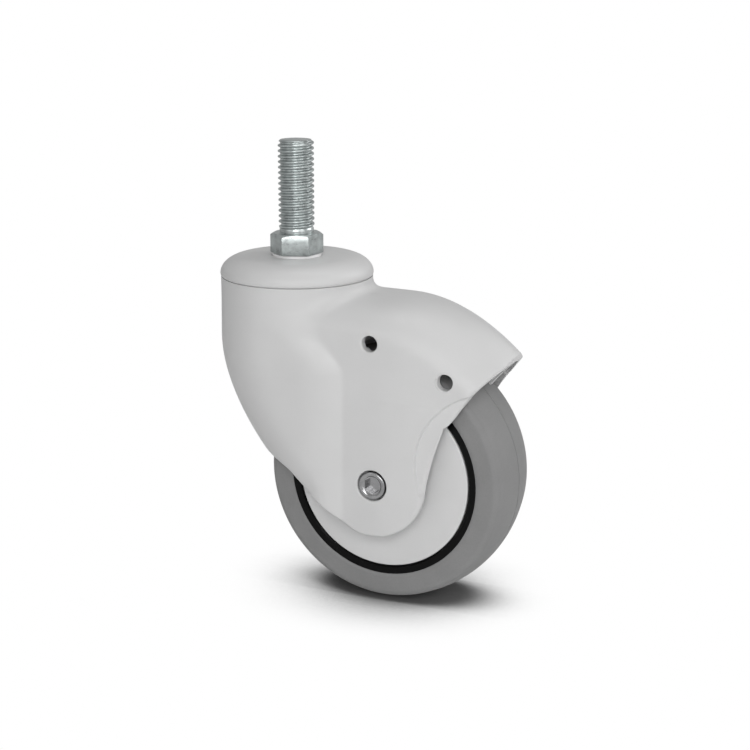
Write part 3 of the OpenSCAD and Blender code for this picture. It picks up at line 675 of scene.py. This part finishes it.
stemSize = {
    "r": 5.82, "pitch": 1.75, "depth": 0.8, "length": 30.0, "chamfer": 0.75,
    "hexFlats": 15.0, "hexHeight": 6.55, "hexBevel": 0.14, "turn": 22.3,
    "reliefR": 5.55, "reliefEnd": 2.7, "fillet": 0.75,
    "neckR": 5.8, "neckTop": -5.7, "shankR": 5.0, "shankTop": -15.5,
    "grooveR": 4.6, "grooveTop": -34.5, "grooveEnd": -35.6, "end": -36.9,
}


def threadRadius(angle, z):
    s = stemSize
    phase = (z / s["pitch"] - angle / math.tau) % 1.0
    flank = abs(phase - 0.5) * 2  # 1 at the root, 0 at the crest
    radius = s["r"] - s["depth"] * smoothStep((flank - 0.16) / 0.7)
    if z < s["reliefEnd"]:
        radius = mix(s["reliefR"], radius, smoothStep((z - 0.9) / 1.8))
    tip = s["r"] - s["chamfer"] + s["length"] - z
    return min(radius, tip)


def makeStem():
    # a flat grid is rolled up around the stem's axis, then its two ends are closed
    s = stemSize
    deselectAll()
    bpy.ops.mesh.primitive_grid_add(x_subdivisions=96, y_subdivisions=380, size=2 * mm)
    piece = nameIt("stemThread")
    for vertex in piece.data.vertices:
        angle = (vertex.co.x / mm + 1) / 2 * math.tau
        z = 0.02 + (vertex.co.y / mm + 1) / 2 * (s["length"] - 0.02)
        radius = threadRadius(angle, z)
        vertex.co = (radius * mm * math.cos(angle), radius * mm * math.sin(angle), z * mm)
    bpy.ops.object.mode_set(mode="EDIT")
    bpy.ops.mesh.select_all(action="SELECT")
    bpy.ops.mesh.remove_doubles(threshold=0.002 * mm)
    bpy.ops.mesh.select_all(action="DESELECT")
    bpy.ops.mesh.select_non_manifold()
    bpy.ops.mesh.fill_holes(sides=0)
    bpy.ops.mesh.select_all(action="SELECT")
    bpy.ops.mesh.normals_make_consistent(inside=False)
    bpy.ops.object.mode_set(mode="OBJECT")
    return piece


def makeHexagon():
    s = stemSize
    flat, corner, low = s["hexFlats"] / 2, s["hexFlats"] / math.sqrt(3), -s["hexHeight"]
    deselectAll()
    bpy.ops.mesh.primitive_cylinder_add(
        vertices=6, radius=corner * mm, depth=s["hexHeight"] * mm, location=(0, 0, low / 2 * mm))
    piece = nameIt("stemHex")
    bpy.ops.object.transform_apply(location=True, rotation=True, scale=True)
    # Blender starts a hexagon's corner on +Y, the source starts it on +X
    piece.data.transform(Matrix.Rotation(math.radians(s["turn"] - 30), 4, "Z"))
    # a cone of 30 degrees takes the upper corners off
    rise = (corner - flat + 0.1) * math.tan(math.radians(30))
    envelope = spinProfile("hexEnvelope", [
        (0, low), (corner - 0.2, low), (corner + 0.05, low + 0.15), (corner + 0.05, -rise - 0.03),
        (flat - 0.15, 0), (0, 0)], 192)
    cutWith(piece, envelope, "INTERSECT")
    cleanUp(piece)
    applyModifier(
        piece, "BEVEL", width=s["hexBevel"] * mm, segments=2,
        limit_method="ANGLE", angle_limit=math.radians(40))
    return piece


def makeRelief():
    # fillet where the thread's root meets the hexagon
    root, fillet = 5.25, stemSize["fillet"]
    profile = [(0, -0.2), (6.6, -0.2), (6.6, -0.01)]
    for degrees in range(0, 91, 15):
        angle = math.radians(degrees)
        profile.append((root + fillet * (1 - math.sin(angle)), fillet * (1 - math.cos(angle))))
    return spinProfile("stemRelief", profile + [(root, 1.2), (0, 1.2)], 128)


def makeNeck():
    # neck below the hexagon, then the shank with the snap ring's groove near its end
    s = stemSize
    profile = [(0, s["neckTop"]), (s["neckR"], s["neckTop"]), (s["neckR"], s["shankTop"])]
    profile += [(s["shankR"], s["shankTop"]), (s["shankR"], s["grooveTop"]), (s["grooveR"], s["grooveTop"])]
    profile += [(s["grooveR"], s["grooveEnd"]), (s["shankR"], s["grooveEnd"]), (s["shankR"], s["end"] + 0.5)]
    return spinProfile("stemNeck", profile + [(s["shankR"] - 0.5, s["end"]), (0, s["end"])], 96)


threadPart, hexPart, reliefPart, neckPart = makeStem(), makeHexagon(), makeRelief(), makeNeck()
smoothShade(threadPart, 60)
smoothShade(hexPart, 25)
smoothShade(reliefPart, 50)
smoothShade(neckPart, 30)
for part in (threadPart, hexPart, reliefPart, neckPart):
    dress(part, "stemZinc", "stem_body", "zinc_steel", "stem")
print("stem done:", len(threadPart.data.polygons), "faces on the thread")


# tyre

tyreSize = {"crown": 41.5, "crownR": 42.0, "halfY": 14.0, "shoulder": 2.4, "inner": 32.0, "parting": 0.3}


def tyreProfile():
    t = tyreSize
    inner, side = t["inner"], t["halfY"]
    edgeY = side - t["shoulder"]

    def crown(y):
        return t["crown"] - t["crownR"] + math.sqrt(t["crownR"] ** 2 - y * y)

    shoulderX = crown(edgeY) - t["shoulder"]
    half = [(34.4, 12.0), (32.25, 13.6), (inner, 13.72), (inner + 0.02, 13.86), (inner + 0.25, side)]
    half += [(33.5, side), (35.0, side - 0.02), (shoulderX - 1.2, side), (shoulderX - 0.4, side)]
    for degrees in range(0, 76, 7):
        angle = math.radians(degrees)
        half.append((shoulderX + t["shoulder"] * math.sin(angle), edgeY + t["shoulder"] * math.cos(angle)))
    for i in range(23):
        y = (edgeY - 0.4) * (1 - i / 24)
        half.append((crown(y), y))
    # fine parting line around the middle of the tread
    half += [(crown(0.42), 0.42), (crown(0.3), 0.3), (crown(0.16) - t["parting"], 0.16)]
    return half + [(r, -y) for r, y in reversed(half)]


tyreBody = spinProfile("tyreBody", tyreProfile(), 256)
ontoAxle(tyreBody)
smoothShade(tyreBody, 38)
dress(tyreBody, "tyreGrey", "wheel_body", "tyre", "tyre")


# wheel cover discs

coverSize = {"r": 29.2, "face": 13.6, "back": 12.1, "hole": 7.7, "edge": 0.45, "rib": (26.5, 27.9, 10.6)}


def coverProfile():
    # flat disc with a rounded rim and, behind it, the ring rib that snaps into the core
    s = coverSize
    face, back, (ribIn, ribOut, ribEnd) = s["face"], s["back"], s["rib"]
    profile = [(s["hole"], back), (ribIn, back), (ribIn, ribEnd), (ribOut, ribEnd), (ribOut, back), (s["r"], back)]
    profile += arcPoints((s["r"] - s["edge"], face - s["edge"]), s["edge"], 0, 90, 6)
    return profile + [(26, face), (20, face), (12, face), (s["hole"] + 0.2, face), (s["hole"], face - 0.2)]


for side, name, node in ((-1, "coverNear", "near_cover"), (1, "coverFar", "far_cover")):
    cover = spinProfile(name, coverProfile(), 192)
    ontoAxle(cover, side)
    smoothShade(cover, 40)
    dress(cover, "coverGrey", "wheel_body", "grey_plastic", node)
print("tyre and covers done")


# axle screws

screwSize = {"r": 4.5, "edge": 0.5, "base": 18.5, "high": 3.8, "socket": 5.0, "depth": 2.6, "shank": 3.0, "from": 6.0}


def makeScrew(name, side):
    s = screwSize
    top, socketR = s["base"] + s["high"], s["socket"] / math.sqrt(3)
    profile = [(0, s["from"]), (s["shank"], s["from"]), (s["shank"], s["base"]), (s["r"], s["base"])]
    profile += arcPoints((s["r"] - s["edge"], top - s["edge"]), s["edge"], 0, 90, 6)
    profile += [(socketR + 0.62, top), (socketR + 0.5, top - 0.04), (socketR + 0.05, top - 0.5), (0, top - 0.5)]
    piece = spinProfile(name, profile, 96)
    deselectAll()
    bpy.ops.mesh.primitive_cylinder_add(
        vertices=6, radius=socketR * mm, depth=s["depth"] * mm,
        location=(0, 0, (top - s["depth"] / 2 + 0.02) * mm))
    socket = nameIt("socket")
    bpy.ops.object.transform_apply(location=True, rotation=True, scale=True)
    cutWith(piece, socket)
    cleanUp(piece)
    ontoAxle(piece, side)
    smoothShade(piece, 35)
    return piece


for name, side in (("screwNear", -1), ("screwFar", 1)):
    screw = makeScrew(name, side)
    dress(screw, "screwNickel", "housing_body", "bright_steel", "axle_screws")
print("axle screws done")


# floor, lights and camera

studio = {
    "floor": 0.92, "paintedShadowTone": 0.13, "world": 0.165, "mirrored": 0.5, "floorGloss": 0.3,
    "shade": {"reach": 0.06, "samples": 24, "darkest": 0.34, "clear": 0.8},
    "lampSize": 0.5, "lampAim": (0.03, 0, -0.05),
    "lamps": {
        "front": {"at": (0.35, -0.9, 0.35), "watts": 4.6},
        "right": {"at": (0.9, -0.45, 0.3), "watts": 2.2},
        "left": {"at": (-0.45, -0.85, 0.35), "watts": 0.7},
        "top": {"at": (0.06, 0.1, 0.85), "watts": 2.0},
        "rear": {"at": (0.7, 0.6, 0.4), "watts": 2.7},
    },
}


def makeFloor():
    # white sheet: close under the wheel, wherever that stands, the camera sees a painted shadow (a dark paper colour
    # faded in by ambient occlusion) on top of the real shadow of the lamps, and plain white further out
    deselectAll()
    bpy.ops.mesh.primitive_plane_add(size=6, location=(0, 0, castor["floorZ"] * mm))
    floor = nameIt("floor")
    bpy.ops.object.transform_apply(location=True, rotation=True, scale=True)
    s = Shader("floorWhite")
    seen = s.node("ShaderNodeLightPath", {}, {}, "Is Camera Ray")
    glossy = s.node("ShaderNodeLightPath", {}, {}, "Is Glossy Ray")
    shade = studio["shade"]
    openness = s.node("ShaderNodeAmbientOcclusion", {"samples": shade["samples"]}, {"Distance": shade["reach"]}, "AO")
    # painted shadow: where ambient occlusion is low, the camera's white glow fades out and the paper's colour for the
    # camera drops to a dark grey
    paintedShadowFade = s.spread(openness, shade["darkest"], shade["clear"], 0, 1, "SMOOTHSTEP")
    colour = s.blend(s.noise(3, 2), grey(studio["floor"] - 0.005), grey(studio["floor"] + 0.005))
    colour = s.blend(seen, colour, grey(studio["paintedShadowTone"]))
    paper = s.node("ShaderNodeBsdfDiffuse", {}, {"Color": colour})
    glow = s.node("ShaderNodeEmission", {}, {"Color": (1, 1, 1, 1), "Strength": 1.0})
    share = seen * paintedShadowFade + glossy * studio["floorGloss"]
    both = s.node("ShaderNodeMixShader", {}, {0: share, 1: paper, 2: glow})
    s.tree.links.new(both.link, s.output.inputs["Surface"])
    floor.data.materials.append(s.material)


def makeLamp(name, lamp):
    data = bpy.data.lights.new(name, "AREA")
    data.shape = "SQUARE"
    data.size = studio["lampSize"]
    data.energy = lamp["watts"]
    light = bpy.data.objects.new(name, data)
    bpy.context.scene.collection.objects.link(light)
    light.location = lamp["at"]
    aim = Vector(studio["lampAim"]) - light.location
    light.rotation_euler = aim.to_track_quat("-Z", "Y").to_euler()


makeFloor()
for lampName, lamp in studio["lamps"].items():
    makeLamp(lampName, lamp)

world = bpy.data.worlds.new("studioWorld")
bpy.context.scene.world = world
world.use_nodes = True
worldTree = world.node_tree
worldBack = worldTree.nodes["Background"]
worldBack.inputs["Color"].default_value = (1, 1, 1, 1)
lightPath = worldTree.nodes.new("ShaderNodeLightPath")
# metal mirrors a brighter room than the one that lights the plastic
mirrored = worldTree.nodes.new("ShaderNodeMapRange")
mirrored.inputs["To Min"].default_value = studio["world"]
mirrored.inputs["To Max"].default_value = studio["mirrored"]
worldTree.links.new(lightPath.outputs["Is Glossy Ray"], mirrored.inputs["Value"])
lift = worldTree.nodes.new("ShaderNodeMapRange")
lift.inputs["To Max"].default_value = 1.0
worldTree.links.new(lightPath.outputs["Is Camera Ray"], lift.inputs["Value"])
worldTree.links.new(mirrored.outputs["Result"], lift.inputs["To Min"])
worldTree.links.new(lift.outputs["Result"], worldBack.inputs["Strength"])

shot = {"at": (0.253616, -0.503015, 0.096199), "turn": 24.17, "down": 14.37, "lens": 84.07}
cameraData = bpy.data.cameras.new("shotCamera")
cameraData.lens = shot["lens"]
cameraData.sensor_width = 36
cameraData.clip_start = 0.01
cameraObject = bpy.data.objects.new("shotCamera", cameraData)
bpy.context.scene.collection.objects.link(cameraObject)
cameraObject.location = shot["at"]
cameraObject.rotation_euler = (math.radians(90 - shot["down"]), 0, math.radians(shot["turn"]))
bpy.context.scene.camera = cameraObject
bpy.context.scene.view_settings.view_transform = "Standard"
print("stage, lights and camera set")
